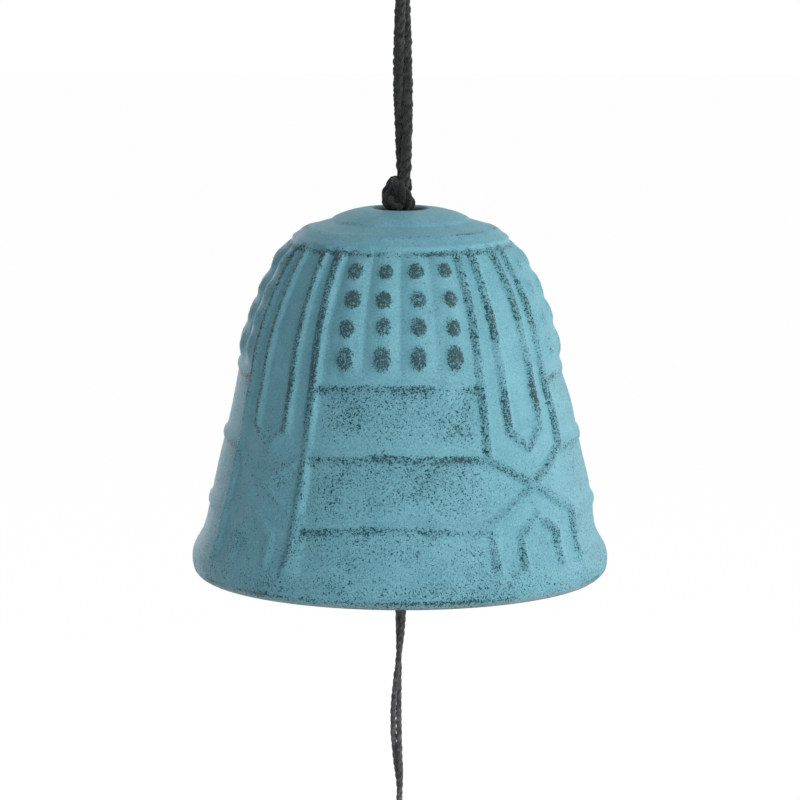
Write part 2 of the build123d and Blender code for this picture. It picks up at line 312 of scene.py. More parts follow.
lay_smooth = lay_tree.nodes.new("GeometryNodeSetShadeSmooth")
lay_real = lay_tree.nodes.new("GeometryNodeRealizeInstances")
lay_finish = lay_tree.nodes.new("GeometryNodeSetMaterial")
wire(lay_tree, (lay_in, "Ply Radius"), (lay_profile, "Radius"))
wire(lay_tree, (lay_place, "Geometry"), (lay_tube, "Curve"))
wire(lay_tree, lay_ring, (lay_tube, "Profile Curve"))
wire(lay_tree, lay_swell, (lay_tube, "Scale"))
wire(lay_tree, (lay_tube, "Mesh"), (lay_smooth, "Geometry"))
wire(lay_tree, (lay_smooth, "Geometry"), (lay_real, "Geometry"))
wire(lay_tree, (lay_real, "Geometry"), (lay_finish, "Geometry"))
wire(lay_tree, (lay_in, "Material"), (lay_finish, "Material"))
wire(lay_tree, (lay_finish, "Geometry"), (lay_out, "Cord"))


def made_plain(piece):
    """Turns what a piece's modifiers give into its own mesh, and takes the modifiers off."""
    bpy.context.view_layer.update()
    result = bpy.data.meshes.new_from_object(piece.evaluated_get(bpy.context.evaluated_depsgraph_get()))
    piece.modifiers.clear()
    piece.data = result
    result.name = piece.name


def lay_cord(name, route, **values):
    """A cord of legs and plies along a route, as a plain mesh piece."""
    piece = bpy.data.objects.new(name, route.copy())
    bpy.context.scene.collection.objects.link(piece)
    modifier = piece.modifiers.new("lay", "NODES")
    modifier.node_group = lay_tree
    for socket in lay_tree.interface.items_tree:
        value_name = socket.name.lower().replace(" ", "_")
        if value_name in values:
            modifier[socket.identifier] = values[value_name]
    made_plain(piece)
    return piece


def principled(name, roughness):
    """A new material, with its tree and the Principled shader in it."""
    material = bpy.data.materials.new(name)
    material.use_nodes = True
    shader = material.node_tree.nodes["Principled BSDF"]
    shader.inputs["Roughness"].default_value = roughness
    return material, material.node_tree, shader


def clamped(tree, value, gain, shift):
    """A value stretched and shifted, and held between nothing and one."""
    result = maths(tree, "MULTIPLY_ADD", value, gain, shift)
    result[0].use_clamp = True
    return result


def mixed(tree, share, first, second):
    """A colour between two: each is a colour, or a node and its output."""
    first_socket, second_socket, result_socket = 6, 7, 2
    node = tree.nodes.new("ShaderNodeMix")
    node.data_type = "RGBA"
    wire(tree, share, (node, 0))
    for socket, colour in ((first_socket, first), (second_socket, second)):
        if isinstance(colour[0], bpy.types.Node):
            wire(tree, colour, (node, socket))
        else:
            node.inputs[socket].default_value = (*colour, 1)
    return (node, result_socket)


def object_noise(tree, scale, detail, roughness=0.5, stretch=(1, 1, 1)):
    """Noise in the piece's own coordinates, with a number or a node's output as its scale."""
    place = tree.nodes.new("ShaderNodeTexCoord")
    turn = tree.nodes.new("ShaderNodeMapping")
    turn.inputs["Scale"].default_value = stretch
    noise = tree.nodes.new("ShaderNodeTexNoise")
    if isinstance(scale, tuple):
        wire(tree, scale, (noise, "Scale"))
    else:
        noise.inputs["Scale"].default_value = scale
    noise.inputs["Detail"].default_value = detail
    noise.inputs["Roughness"].default_value = roughness
    wire(tree, (place, "Object"), (turn, "Vector"))
    wire(tree, (turn, "Vector"), (noise, "Vector"))
    return (noise, "Fac")


def mark_value(tree, mark):
    """The value that a piece's points keep under a name."""
    node = tree.nodes.new("ShaderNodeAttribute")
    node.attribute_name = mark
    return (node, "Fac")


def bumped(tree, shader, height, strength, distance):
    """Gives a shader the fine relief of a height."""
    bump = tree.nodes.new("ShaderNodeBump")
    bump.inputs["Strength"].default_value = strength
    bump.inputs["Distance"].default_value = distance
    wire(tree, height, (bump, "Height"))
    wire(tree, (bump, "Normal"), (shader, "Normal"))


def effect_group(name, inputs, outputs):
    """A shader node group for an effect, with the nodes of its inputs and outputs."""
    group = bpy.data.node_groups.new(name, "ShaderNodeTree")
    for socket_name, value in inputs:
        socket = group.interface.new_socket(socket_name, in_out="INPUT", socket_type="NodeSocketFloat")
        socket.default_value = value
    for socket_name in outputs:
        group.interface.new_socket(socket_name, in_out="OUTPUT", socket_type="NodeSocketFloat")
    return group, group.nodes.new("NodeGroupInput"), group.nodes.new("NodeGroupOutput")


def placed_effect(tree, group, **values):
    """An effect's group in a material's tree, with the values of its inputs."""
    node = tree.nodes.new("ShaderNodeGroup")
    node.node_tree = group
    for name, value in values.items():
        node.inputs[name].default_value = value
    return node


fibre_height = 0.45
fibre_shade = 0.35
patch_contrast = 2.6
patch_shift = -1.0
patch_detail = 3
fibre, fibre_in, fibre_out = effect_group(
    "spun fibre", (("Lay", 900.0), ("Fibres", 5.0), ("Patch", 1500.0)), ("Height", "Tone")
)
fibre_slant = maths(fibre, "MULTIPLY", mark_value(fibre, "along"), (fibre_in, "Lay"))
fibre_turn = maths(fibre, "ADD", mark_value(fibre, "around"), fibre_slant)
fibre_phase = maths(fibre, "MULTIPLY", maths(fibre, "MULTIPLY", fibre_turn, (fibre_in, "Fibres")), 2 * pi)
fibre_wave = maths(fibre, "MULTIPLY_ADD", maths(fibre, "SINE", fibre_phase), 0.5, 0.5)
fibre_noise = object_noise(fibre, scale=(fibre_in, "Patch"), detail=patch_detail)
fibre_patch = maths(fibre, "MULTIPLY_ADD", fibre_noise, patch_contrast, patch_shift)
wire(fibre, maths(fibre, "MULTIPLY_ADD", fibre_wave, fibre_height, fibre_noise), (fibre_out, "Height"))
wire(fibre, clamped(fibre, fibre_wave, fibre_shade, fibre_patch), (fibre_out, "Tone"))

cord_roughness = 0.88
cord_gloss = 0.25
cord_sheen = 0.15
cord_sheen_roughness = 0.6
cord_bump = dict(strength=0.6, distance=0.00012)


def cord_material(name, dark, light, lay):
    """Dull spun cord, from a dark to a light tone, with its fibres at a slant."""
    material, tree, shader = principled(name, cord_roughness)
    spun = placed_effect(tree, fibre, Lay=lay)
    wire(tree, mixed(tree, (spun, "Tone"), dark, light), (shader, "Base Color"))
    bumped(tree, shader, (spun, "Height"), **cord_bump)
    shader.inputs["Specular IOR Level"].default_value = cord_gloss
    shader.inputs["Sheen Weight"].default_value = cord_sheen
    shader.inputs["Sheen Roughness"].default_value = cord_sheen_roughness
    return material


charcoal_lay = 700.0
charcoal = cord_material("charcoal cord", (0.0015, 0.002, 0.0015), (0.040, 0.048, 0.041), charcoal_lay)
hang_low, hang_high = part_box("hanging_cord")
pivot_level = frame["joints"][0]["pos_m"][2]
knot_lean = 0.00045
hang_points = [
    (0.0001, 0, pivot_level),
    (0.0002, 0, -0.021),
    (0.00025, 0, -0.030),
    (knot_lean, 0, -0.039),
    (knot_lean, 0, hang_low.z - 0.0012),
]
hang_route = smooth_route("hanging route", hang_points)
hanging_cord = lay_cord(
    "hanging_cord_legs",
    hang_route,
    material=charcoal,
    legs=2,
    leg_offset=leg_offset,
    leg_turns=hang_turns,
    leg_start=hang_start,
    **hang_sizes,
)
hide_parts("hanging_cord")

eye_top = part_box("hanging_eye")[1].z - leg_radius
eye_points = [
    (0.0001, 0.0008, pivot_level - 0.0004),
    (0.0006, 0.0007, pivot_level + 0.0014),
    (0.0016, 0.0002, -0.0112),
    (0.0036, 0, -0.0075),
    (0.0046, 0, -0.0040),
    (0.0044, 0, -0.0005),
    (0.0022, 0, eye_top + 0.0002),
    (0, 0, eye_top),
    (-0.0022, 0, eye_top + 0.0002),
    (-0.0044, 0, -0.0005),
    (-0.0046, 0, -0.0040),
    (-0.0036, 0, -0.0075),
    (-0.0016, -0.0002, -0.0112),
    (-0.0006, -0.0007, pivot_level + 0.0014),
    (-0.0001, -0.0008, pivot_level - 0.0004),
]
eye_route = smooth_route("eye route", eye_points)
hanging_eye = lay_cord("hanging_eye_loop", eye_route, material=charcoal, **single_leg, **hang_sizes)
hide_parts("hanging_eye")
for piece in (hanging_cord, hanging_eye):
    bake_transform(piece)

# Crown and stop knots: overhand knots in the charcoal cord, drawn up tight, with its neck between them.
# The one on the crown is pear shaped, wide where it sits in the mouth of the hole.
# The one under the crown carries the washer.
knot_fill = 1.06
knot_lift = 1.1
knot_steps = 48
knot_overlap = 4
knot_start = pi / 3
knot_plies = 3
knot_ply_share = 0.47
knot_ply_pitch = 5
knot_spacing = 0.00022
knot_unevenness = 0.5


def tied_knot(name, node, material, shift=0.0, taper=0.0, hand=1, cord_share=0.36):
    """An overhand knot that fills the box of its CAD node, narrowed towards its top."""
    low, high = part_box(node)
    centre = (low + high) / 2
    radius = (high.x - low.x) / 2
    half_height = (high.z - low.z) / 2
    cord_radius = cord_share * radius
    swing = knot_fill * (radius - cord_radius) / 3
    lift = knot_lift * (half_height - cord_radius)
    points = []
    for step in range(knot_steps + knot_overlap):
        turn = 2 * pi * step / knot_steps + knot_start
        rise = sin(3 * turn)
        reach = swing * (2 + cos(3 * turn)) * (1 - taper * rise)
        x = centre.x + shift + hand * reach * cos(2 * turn)
        points.append((x, centre.y + reach * sin(2 * turn), centre.z + lift * rise))
    strand = cord_radius * knot_ply_share
    knot = lay_cord(
        name,
        smooth_route(name, points),
        material=material,
        plies=knot_plies,
        ply_offset=cord_radius - strand,
        ply_radius=strand,
        ply_pitch=cord_radius * knot_ply_pitch,
        spacing=knot_spacing,
        unevenness=knot_unevenness,
        **single_leg,
    )
    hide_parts(node)
    return knot


# A darker copy of the charcoal cord for the knots: painted shade in their tightly packed turns.
knot_shade_charcoal = cord_material(
    "charcoal cord with painted knot shade", (0.001, 0.0013, 0.001), (0.021, 0.026, 0.023), charcoal_lay
)
crown_knot = tied_knot(
    "crown_knot_tied", "crown_knot", knot_shade_charcoal, shift=-0.0003, taper=0.24, hand=-1, cord_share=0.4
)
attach(crown_knot, "hanger")
stop_knot = tied_knot("stop_knot_tied", "stop_knot", knot_shade_charcoal)
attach(stop_knot, "hanger")
neck_low, neck_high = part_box("neck_cord")
neck_overrun = 0.002
neck_points = [
    (0, 0, neck_high.z + neck_overrun),
    (0, 0, neck_low.z - neck_overrun),
    (0, 0, neck_low.z - 2 * neck_overrun),
]
neck_cord = lay_cord(
    "neck_cord_legs",
    smooth_route("neck route", neck_points),
    material=charcoal,
    legs=2,
    leg_offset=0.0006,
    leg_turns=0.4,
    plies=3,
    ply_offset=0.0003,
    ply_radius=0.00035,
    ply_pitch=0.0042,
    spacing=0.00025,
    unevenness=0.3,
)
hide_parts("neck_cord")
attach(neck_cord, "hanger")

# Washer: a plain punched steel washer under the crown, which lets the bell turn on its cord.
# Its edges are rounded over by the punch.
washer_low, washer_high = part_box("crown_washer")
washer_hole_radius = 0.0022
washer_round = 0.0003
washer_around = 64
washer_roughness = 0.38
washer_dark = (0.42, 0.41, 0.39)
washer_light = (0.66, 0.66, 0.65)
side_share = 2.2


def rounded(corners, radius, steps=3):
    """A closed outline with each corner rounded by a short curve."""
    outline = []
    count = len(corners)
    for number, corner in enumerate(corners):
        here = Vector(corner)
        before = Vector(corners[number - 1]) - here
        after = Vector(corners[(number + 1) % count]) - here
        start = here + before.normalized() * min(radius, before.length / side_share)
        end = here + after.normalized() * min(radius, after.length / side_share)
        for step in range(steps + 1):
            share = step / steps
            outline.append(tuple(start.lerp(here, share).lerp(here.lerp(end, share), share)))
    return outline


def turned_mesh(name, outline, around):
    """A mesh turned about Z from a closed half outline of radii and levels."""
    rows = len(outline)
    points = []
    for radius, level in outline:
        for step in range(around):
            angle = 2 * pi * step / around
            points.append((radius * cos(angle), radius * sin(angle), level))
    faces = []
    for row in range(rows):
        here = row * around
        there = (row + 1) % rows * around
        for step in range(around):
            after = (step + 1) % around
            faces.append((here + step, here + after, there + after, there + step))
    mesh = bpy.data.meshes.new(name)
    mesh.from_pydata(points, [], faces)
    mesh.shade_smooth()
    return mesh


def new_piece(name, mesh, material):
    """A piece with its mesh and material, in the scene."""
    mesh.materials.append(material)
    piece = bpy.data.objects.new(name, mesh)
    bpy.context.scene.collection.objects.link(piece)
    return piece


washer_outline = rounded(
    [
        (washer_hole_radius, washer_low.z),
        (washer_high.x, washer_low.z),
        (washer_high.x, washer_high.z),
        (washer_hole_radius, washer_high.z),
    ],
    washer_round,
)
steel, steel_tree, steel_shader = principled("washer steel", washer_roughness)
steel_shader.inputs["Metallic"].default_value = 1.0
steel_stain = object_noise(steel_tree, scale=900, detail=4)
wire(steel_tree, mixed(steel_tree, steel_stain, washer_dark, washer_light), (steel_shader, "Base Color"))
washer_mesh = turned_mesh("crown_washer_ring", washer_outline, washer_around)
washer = new_piece("crown_washer_ring", washer_mesh, steel)
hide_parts("crown_washer")
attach(washer, "washer")

# Bell: one thin iron casting in the shape of a temple bell, hollow and open below.
# Bosses and raised lines stand on its wall, cast in one with it and softened by the mould.
# Its matt sky blue paint is rubbed back by hand, so dark iron shows on the ornament in a fine stipple.
bell_low, bell_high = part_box("bell_shell")
rim_level = bell_low.z
crown_level = bell_high.z
bell_height = crown_level - rim_level
hole_radius = 0.0041
hole_round = 0.0003
hole_paint_depth = 0.00045
crown_ceiling = crown_level - 0.0034
hole_foot = np.array((hole_radius, crown_ceiling))
hole_top = np.array((hole_radius, crown_level - hole_round))
disc_start = np.array((hole_radius + hole_round, crown_level))
disc_edge = np.array((0.0105, crown_level - 0.0015))
disc_foot = np.array((0.01095, crown_level - 0.00195))
cap_edge = np.array((0.0169, crown_level - 0.0044))
shoulder_top = np.array((0.0169, crown_level - 0.0050))
shoulder_middle = np.array((0.0213, rim_level + 0.783 * bell_height))
waist = np.array((0.0250, rim_level + 0.57 * bell_height))
flare_foot = np.array((0.0304, rim_level + 0.15 * bell_height))
lip_top = np.array((0.03183, rim_level + 0.09 * bell_height))
lip_middle = np.array((0.0327, rim_level + 0.045 * bell_height))
rim_edge = np.array((0.03225, rim_level + 0.0006))
rim_outer = np.array((0.03165, rim_level))
rim_inner = np.array((0.0295, rim_level))
flare_inner = np.array((0.0276, flare_foot[1]))
waist_inner = np.array((0.0222, waist[1]))
shoulder_inner = np.array((0.0184, rim_level + 0.77 * bell_height))
seat_edge = np.array((0.0085, crown_ceiling))
cap_fall = radians(12)
disc_way = np.array((1.0, 0.0))
cap_way = np.array((cos(cap_fall), -sin(cap_fall)))
flare_way = (flare_foot - waist) / np.linalg.norm(flare_foot - waist)


def line_run(start, end, count=12):
    """Points of the straight line between two points of the half outline."""
    share = np.linspace(0, 1, count)[:, None]
    return start + (end - start) * share


def arc_run(start, middle, end, count=60):
    """Points of the arc through three points of the half outline."""
    chords = 2 * np.array((middle - start, end - start))
    squares = np.array((middle @ middle - start @ start, end @ end - start @ start))
    centre = np.linalg.solve(chords, squares)
    angles = np.unwrap([atan2(*(point - centre)[::-1]) for point in (start, middle, end)])
    sweep = np.linspace(angles[0], angles[2], count)
    radius = np.linalg.norm(start - centre)
    return centre + radius * np.stack((np.cos(sweep), np.sin(sweep)), axis=1)


def tangent_run(start, direction, end, count=40):
    """Points of the arc that leaves the start in a direction and reaches the end."""
    across = np.array((-direction[1], direction[0]))
    chord = end - start
    radius = chord @ chord / (2 * (chord @ across))
    centre = start + radius * across
    bisector = (start + end) / 2 - centre
    middle = centre + bisector / np.linalg.norm(bisector) * abs(radius)
    return arc_run(start, middle, end, count)


def even_run(line, spacing):
    """The same line with points at an even spacing."""
    steps = np.linalg.norm(np.diff(line, axis=0), axis=1)
    lengths = np.concatenate(([0], np.cumsum(steps)))
    wanted = np.linspace(0, lengths[-1], int(round(lengths[-1] / spacing)) + 1)
    return np.stack([np.interp(wanted, lengths, line[:, axis]) for axis in (0, 1)], axis=1)


def softened(line, width):
    """The same evenly spaced line with its corners eased, and its ends where they were."""
    reach = 3 * width
    weights = np.exp(-0.5 * (np.arange(-reach, reach + 1) / width) ** 2)
    weights = weights / weights.sum()
    before = 2 * line[0] - line[reach:0:-1]
    after = 2 * line[-1] - line[-2 : -reach - 2 : -1]
    padded = np.concatenate((before, line, after))
    return np.stack([np.convolve(padded[:, axis], weights, "valid") for axis in (0, 1)], axis=1)


outer_line = np.concatenate(
    (
        line_run(hole_foot, hole_top),
        tangent_run(disc_start, disc_way, disc_edge),
        tangent_run(disc_foot, cap_way, cap_edge),
        line_run(cap_edge, shoulder_top)[1:],
        arc_run(shoulder_top, shoulder_middle, waist, count=120)[1:],
        line_run(waist, flare_foot, count=120)[1:],
        tangent_run(flare_foot, flare_way, lip_top)[1:],
        arc_run(lip_top, lip_middle, rim_edge)[1:],
        line_run(rim_edge, rim_outer)[1:],
        line_run(rim_outer, rim_inner)[1:],
    )
)
inner_line = np.concatenate(
    (
        line_run(rim_inner, flare_inner, count=4)[1:],
        line_run(flare_inner, waist_inner, count=10)[1:],
        arc_run(waist_inner, shoulder_inner, seat_edge, count=14)[1:],
        line_run(seat_edge, hole_foot, count=4)[1:-1],
    )
)
fine_spacing = 0.00005
casting_softness = 3
crown_spacing = 0.0007
step_spacing = 0.00025
wall_spacing = 0.00042
lip_spacing = 0.0005
step_reach = 0.0006
step_rows = round(step_reach / fine_spacing)
outer_line = softened(even_run(outer_line, fine_spacing), casting_softness)
disc_row, cap_row, wall_top_row, wall_foot_row = [
    np.argmin(np.linalg.norm(outer_line - corner, axis=1))
    for corner in (disc_edge, cap_edge, shoulder_top, lip_middle)
]
outer_rows = outer_line[:1]
first_row = 0
for last_row, spacing in (
    (disc_row - step_rows, crown_spacing),
    (disc_row + 2 * step_rows, step_spacing),
    (cap_row - step_rows, crown_spacing),
    (wall_top_row, step_spacing),
    (wall_foot_row, wall_spacing),
    (len(outer_line) - 1, lip_spacing),
):
    outer_rows = np.concatenate((outer_rows, even_run(outer_line[first_row : last_row + 1], spacing)[1:]))
    first_row = last_row
row_radius, row_level = outer_rows[:, :1], outer_rows[:, 1:]
row_height = row_level - rim_level
row_way = np.gradient(outer_rows, axis=0)
row_way = row_way / np.linalg.norm(row_way, axis=1)[:, None]
row_out = np.stack((-row_way[:, 1], row_way[:, 0]), axis=1)
around = 500
quarter = pi / 2
turn = np.linspace(0, 2 * pi, around, endpoint=False)[None, :]
band_angle = np.mod(turn, quarter) - quarter / 2
band_number = np.mod(np.floor(turn / quarter).astype(int), 4)
panel_angle = np.mod(turn + quarter / 2, quarter) - quarter / 2
panel_number = np.mod(np.round(turn / quarter).astype(int), 4)
draws = np.random.default_rng(11)


def ramp(value, start, end):
    """Nothing at the start and one at the end, in a straight run between them."""
    return np.clip((value - start) / (end - start), 0, 1)


def waves(count, finest, coarsest):
    """Smooth unevenness over the wall, from minus one to one, as waves in drawn directions."""
    total = 0
    place = (row_radius * np.cos(turn), row_radius * np.sin(turn), row_level + 0 * turn)
    for _ in range(count):
        length = draws.uniform(finest, coarsest)
        way = draws.normal(size=3)
        way = way / np.linalg.norm(way) * 2 * pi / length
        phase = draws.uniform(0, 2 * pi)
        total = total + np.sin(sum(part * axis for part, axis in zip(place, way)) + phase)
    return total / count**0.5


def soft_ridge(distance, crest, foot):
    """One on a ridge's crest, falling smoothly to nothing at its foot."""
    return 0.5 + 0.5 * np.cos(pi * np.clip((distance - crest) / (foot - crest), 0, 1))


def turned_window(middle, reach):
    """One about an angle round the bell, falling to nothing past its reach."""
    return np.exp(-(((turn - middle) / reach) ** 4))


# The four bands have lines that cross and end in points.
# The left front band leans, its lower lines are faint, and its edges run straight down to the lip.
wander_reach = radians(0.35)
crooked_angle = radians(223)
crooked_reach = radians(24)
crooked_shift = radians(3.0)
line_wander = wander_reach * waves(count=5, finest=0.012, coarsest=0.03)
line_wander = line_wander + crooked_shift * turned_window(crooked_angle, crooked_reach)
edge_angle = radians(16)
leg_angle = radians(16.5)
inner_angle = radians(7.3)
edge_corner = 0.02195
leg_corner = 0.01235
upper_corner = 0.0256
upper_point = 0.0228
lower_corner = 0.0099
lower_point = 0.0127
motif_tilt = 0.0003
line_top = 0.0530
line_foot = 0.0050
line_crest = 0.0003
line_foot_width = 0.0011


def ridge_line(start, end):
    """A line's ridge between two points, given as an angle and a height each."""
    x = row_radius * (band_angle + line_wander - start[0])
    y = row_height - start[1] + 0 * x
    run_x = row_radius * (end[0] - start[0])
    run_y = end[1] - start[1]
    share = np.clip((x * run_x + y * run_y) / (run_x**2 + run_y**2), 0, 1)
    return soft_ridge(np.hypot(x - share * run_x, y - share * run_y), line_crest, line_foot_width)


lines = np.zeros((len(outer_rows), around))
straight_edge = np.zeros_like(lines)
straight_band = (turn > radians(180)) & (turn < radians(265))
straight_fall = radians(1.2)
for hand in (-1, 1):
    tilt = hand * motif_tilt
    edge, leg, inner = hand * edge_angle, hand * leg_angle, hand * inner_angle
    for start, end in (
        ((edge, edge_corner + tilt), (edge, line_top)),
        ((edge, edge_corner + tilt), (-leg, leg_corner - tilt)),
        ((leg, leg_corner + tilt), (leg, line_foot)),
        ((inner, upper_corner), (inner, line_top)),
        ((inner, upper_corner), (0, upper_point)),
        ((inner, lower_corner), (inner, line_foot)),
        ((inner, lower_corner), (0, lower_point)),
    ):
        lines = np.maximum(lines, ridge_line(start, end))
    straight_run = ridge_line((edge, edge_corner), (edge - straight_fall, line_foot))
    straight_edge = np.maximum(straight_edge, np.where(straight_band, straight_run, 0))
faint_angle = radians(224)
faint_reach = radians(24)
faint_share = 0.58
faint_top = 0.0278
faint_whole = 0.0238
faint = turned_window(faint_angle, faint_reach) * ramp(row_height, faint_top, faint_whole)
faded_lines = lines * (1 - faint_share * faint)
lines = np.maximum(faded_lines, straight_edge)

# The four panels between the bands have three ridges, each over a field, and bosses in lanes above them.
past_edge = np.abs(band_angle + line_wander) - edge_angle
in_panel = ramp(past_edge, 0, radians(1.5))
panel_half = radians(29)
ridge_heights = (0.0331, 0.0226, 0.0120)
ridge_rubs = (1.0, 0.97, 0.84)
ridge_droop = 0.0006
ridge_wander = 0.00016
rub_above = 0.0005
rub_whole = 0.0006
rub_below = 0.0024
field_feet = (*ridge_heights[1:], line_foot)
field_rubs = (0.44, 0.26, 0.2)
field_fade = 0.4
field_clear = 0.7
ridges = np.zeros_like(lines)
ridge_wear = np.zeros_like(lines)
field_wear = np.zeros_like(lines)
for height, foot, ridge_rub, field_rub in zip(ridge_heights, field_feet, ridge_rubs, field_rubs):
    below = height - ridge_droop * (panel_angle / panel_half) ** 2 - row_height
    below = below + ridge_wander * waves(count=4, finest=0.008, coarsest=0.02)
    ridges = np.maximum(ridges, soft_ridge(np.abs(below), line_crest, line_foot_width) * in_panel)
    rubbed_band = ramp(below, -rub_above, 0) * ramp(below, rub_below, rub_whole)
    ridge_wear = np.maximum(ridge_wear, ridge_rub * rubbed_band * in_panel)
    share = below / (height - foot)
    rubbed_field = ramp(share, 1, field_clear) * (1 - field_fade * share)
    rubbed_field = np.where((share > 0) & (share < 1), rubbed_field, 0)
    field_wear = np.maximum(field_wear, field_rub * rubbed_field)

boss_angles = [radians(angle) for angle in (-20, -6.6, 6.6, 20)]
boss_heights = (0.0495, 0.0454, 0.0414, 0.0368)
boss_half_widths = (0.0018, 0.0019, 0.0019, 0.0020)
boss_half_heights = (0.0018, 0.0020, 0.0021, 0.0029)
boss_stray = 0.00013
boss_spread = 0.05
boss_crest = 0.2
bosses = np.zeros_like(lines)
for panel in range(4):
    for boss_angle in boss_angles:
        for boss_height, half_width, half_height in zip(boss_heights, boss_half_widths, boss_half_heights):
            shift_x, shift_y = draws.normal(0, boss_stray, 2)
            size = draws.normal(1, boss_spread)
            x = row_radius * (panel_angle - boss_angle) - shift_x
            y = row_height - boss_height - shift_y
            boss = soft_ridge(np.hypot(x / half_width, y / half_height), boss_crest, size)
            bosses = np.maximum(bosses, np.where(panel_number == panel, boss, 0))
lane_pitch = radians(13.4)
lane_end = 2.06 * lane_pitch
lane_edge = radians(1)
lane_foot = 0.0335
lane_whole = 0.0365
lane_top_whole = 0.0510
lane_share = np.mod(panel_angle / lane_pitch, 1) - 0.5
lanes = (1 - 4 * lane_share**2) * ramp(np.abs(panel_angle), lane_end, lane_end - lane_edge) * in_panel
lanes = lanes * ramp(row_height, lane_foot, lane_whole) * ramp(row_height, line_top, lane_top_whole)

# The relief is the ornament, a slight swell of the right side, a ring on the cap and the mould's unevenness.
line_rise = 0.0006
ridge_rise = 0.00036
boss_rise = 0.00036
lane_rise = 0.00055
wall_top_whole = 0.0520
wall_foot = 0.0035
wall_foot_whole = 0.0055
side_swell = 0.0006
swell_height = 0.020
swell_whole = 0.006
swell_reach = 0.014
cap_ring_rise = 0.00024
cap_ring_radius = 0.0148
cap_ring_crest = 0.0002
cap_ring_foot = 0.0013
cap_fade = 0.0003
unevenness = 0.00006
grain = 0.00002
smooth_radius = 0.006
uneven_radius = 0.009
uneven_height = 0.001
on_wall = ramp(row_height, line_top, wall_top_whole) * ramp(row_height, wall_foot, wall_foot_whole)
on_cap = ramp(row_level, shoulder_top[1], shoulder_top[1] + cap_fade)
off_hole = ramp(row_radius, smooth_radius, uneven_radius)
from_ring = np.abs(row_radius - cap_ring_radius)
drawn = np.maximum(line_rise * lines, ridge_rise * ridges)
relief = on_wall * (drawn + boss_rise * bosses + lane_rise * lanes)
swell = soft_ridge(np.abs(row_height - swell_height), swell_whole, swell_reach)
relief = relief + side_swell * swell * np.clip(np.cos(turn), 0, 1) ** 2
relief = relief + cap_ring_rise * on_cap * soft_ridge(from_ring, cap_ring_crest, cap_ring_foot)
rough = unevenness * waves(count=14, finest=0.006, coarsest=0.02)
rough = rough + grain * waves(count=24, finest=0.0012, coarsest=0.003)
relief = relief + off_hole * ramp(row_height, 0, uneven_height) * rough

# The wear is how far each place is rubbed back.
# A line's wear is moved one column back round the bell, so at the front its dark stipple lies on the flank
# away from the right-hand lamp: painted shade there, while the lit flank stays pale.
patch = waves(count=10, finest=0.004, coarsest=0.012)
band_rubs = np.array((0.5, 0.5, 0.64, 0.47))[band_number]
boss_rubs = np.array((0.4, 0.9, 0.4, 1.0))[panel_number]
panel_rubs = np.array((0.5, 0.9, 0.6, 1.0))[panel_number]
straight_rub = 0.6
# Columns by which the line wear moves onto the shaded flank: painted shade.
line_shade_shift_columns = -1
low_line_loss = 0.18
ridge_rub_least = 0.4
lower_field_rub = 0.13
rim_field_rub = 0.2
field_edge = radians(6)
smudge_limit = 0.36
cap_line_height = 0.0520
lip_line_height = 0.0011
low_line = ramp(row_height, start=0.0205, end=0.0145)
lower_field = ramp(row_height, start=0.0225, end=0.0205)
rim_field = ramp(row_height, start=0.0062, end=0.0032)
smudge_zone = np.where(straight_band, ramp(row_height, start=0.0300, end=0.0240), 0)


def patchy(level, spread):
    """A share of wear that varies in patches."""
    return level + spread * patch


def rubbed_top(mask, gain, floor):
    """The part of a raised mask that rubbing reaches."""
    return np.clip(mask * gain - floor, 0, 1)


# The lines' wear, moved onto their shaded flank: real wear with painted shade on top.
rubbed_lines_toward_shade = np.roll(np.maximum(faded_lines, straight_rub * straight_edge), line_shade_shift_columns, axis=1)
line_wear_and_shade = rubbed_top(rubbed_lines_toward_shade, gain=1.5, floor=0.2) * patchy(band_rubs, spread=0.1)
line_wear_and_shade = line_wear_and_shade * (1 - low_line_loss * low_line)
ridge_rub = ridge_rub_least + (1 - ridge_rub_least) * panel_rubs
ridge_wear = ridge_wear * patchy(0.58, spread=0.14) * ridge_rub
boss_wear = rubbed_top(bosses, gain=1.6, floor=0.12) * patchy(0.73, spread=0.1) * boss_rubs
field_wear = field_wear * panel_rubs * ramp(past_edge, 0, field_edge)
field_wear = field_wear + lower_field_rub * lower_field + rim_field_rub * rim_field
smudge = smudge_zone * np.clip(patchy(-0.1, spread=0.35), 0, smudge_limit)
cap_line = soft_ridge(np.abs(row_height - cap_line_height), crest=0.0002, foot=0.0008)
ring_line = soft_ridge(from_ring, crest=0, foot=0.0006) * on_cap
lip_line = soft_ridge(np.abs(row_height - lip_line_height), crest=0.0001, foot=0.0006)
wear = np.maximum.reduce(
    [
        line_wear_and_shade * on_wall,
        ridge_wear * on_wall,
        boss_wear * on_wall,
        field_wear * patchy(1, spread=0.22),
        smudge * on_wall,
        cap_line * patchy(0.47, spread=0.18),
        ring_line * patchy(0.34, spread=0.3),
        lip_line * patchy(0.56, spread=0.2),
    ]
)
wear = np.clip(wear, 0, 1) * off_hole
lip = ramp(row_height, start=0.0009, end=0.0007) + 0 * turn
bare = ramp(row_height, start=0.0002, end=0) + 0 * turn
in_hole = (row_radius < hole_radius + hole_round) & (row_level < crown_level - hole_paint_depth)
bare = np.where(in_hole, 1, bare)

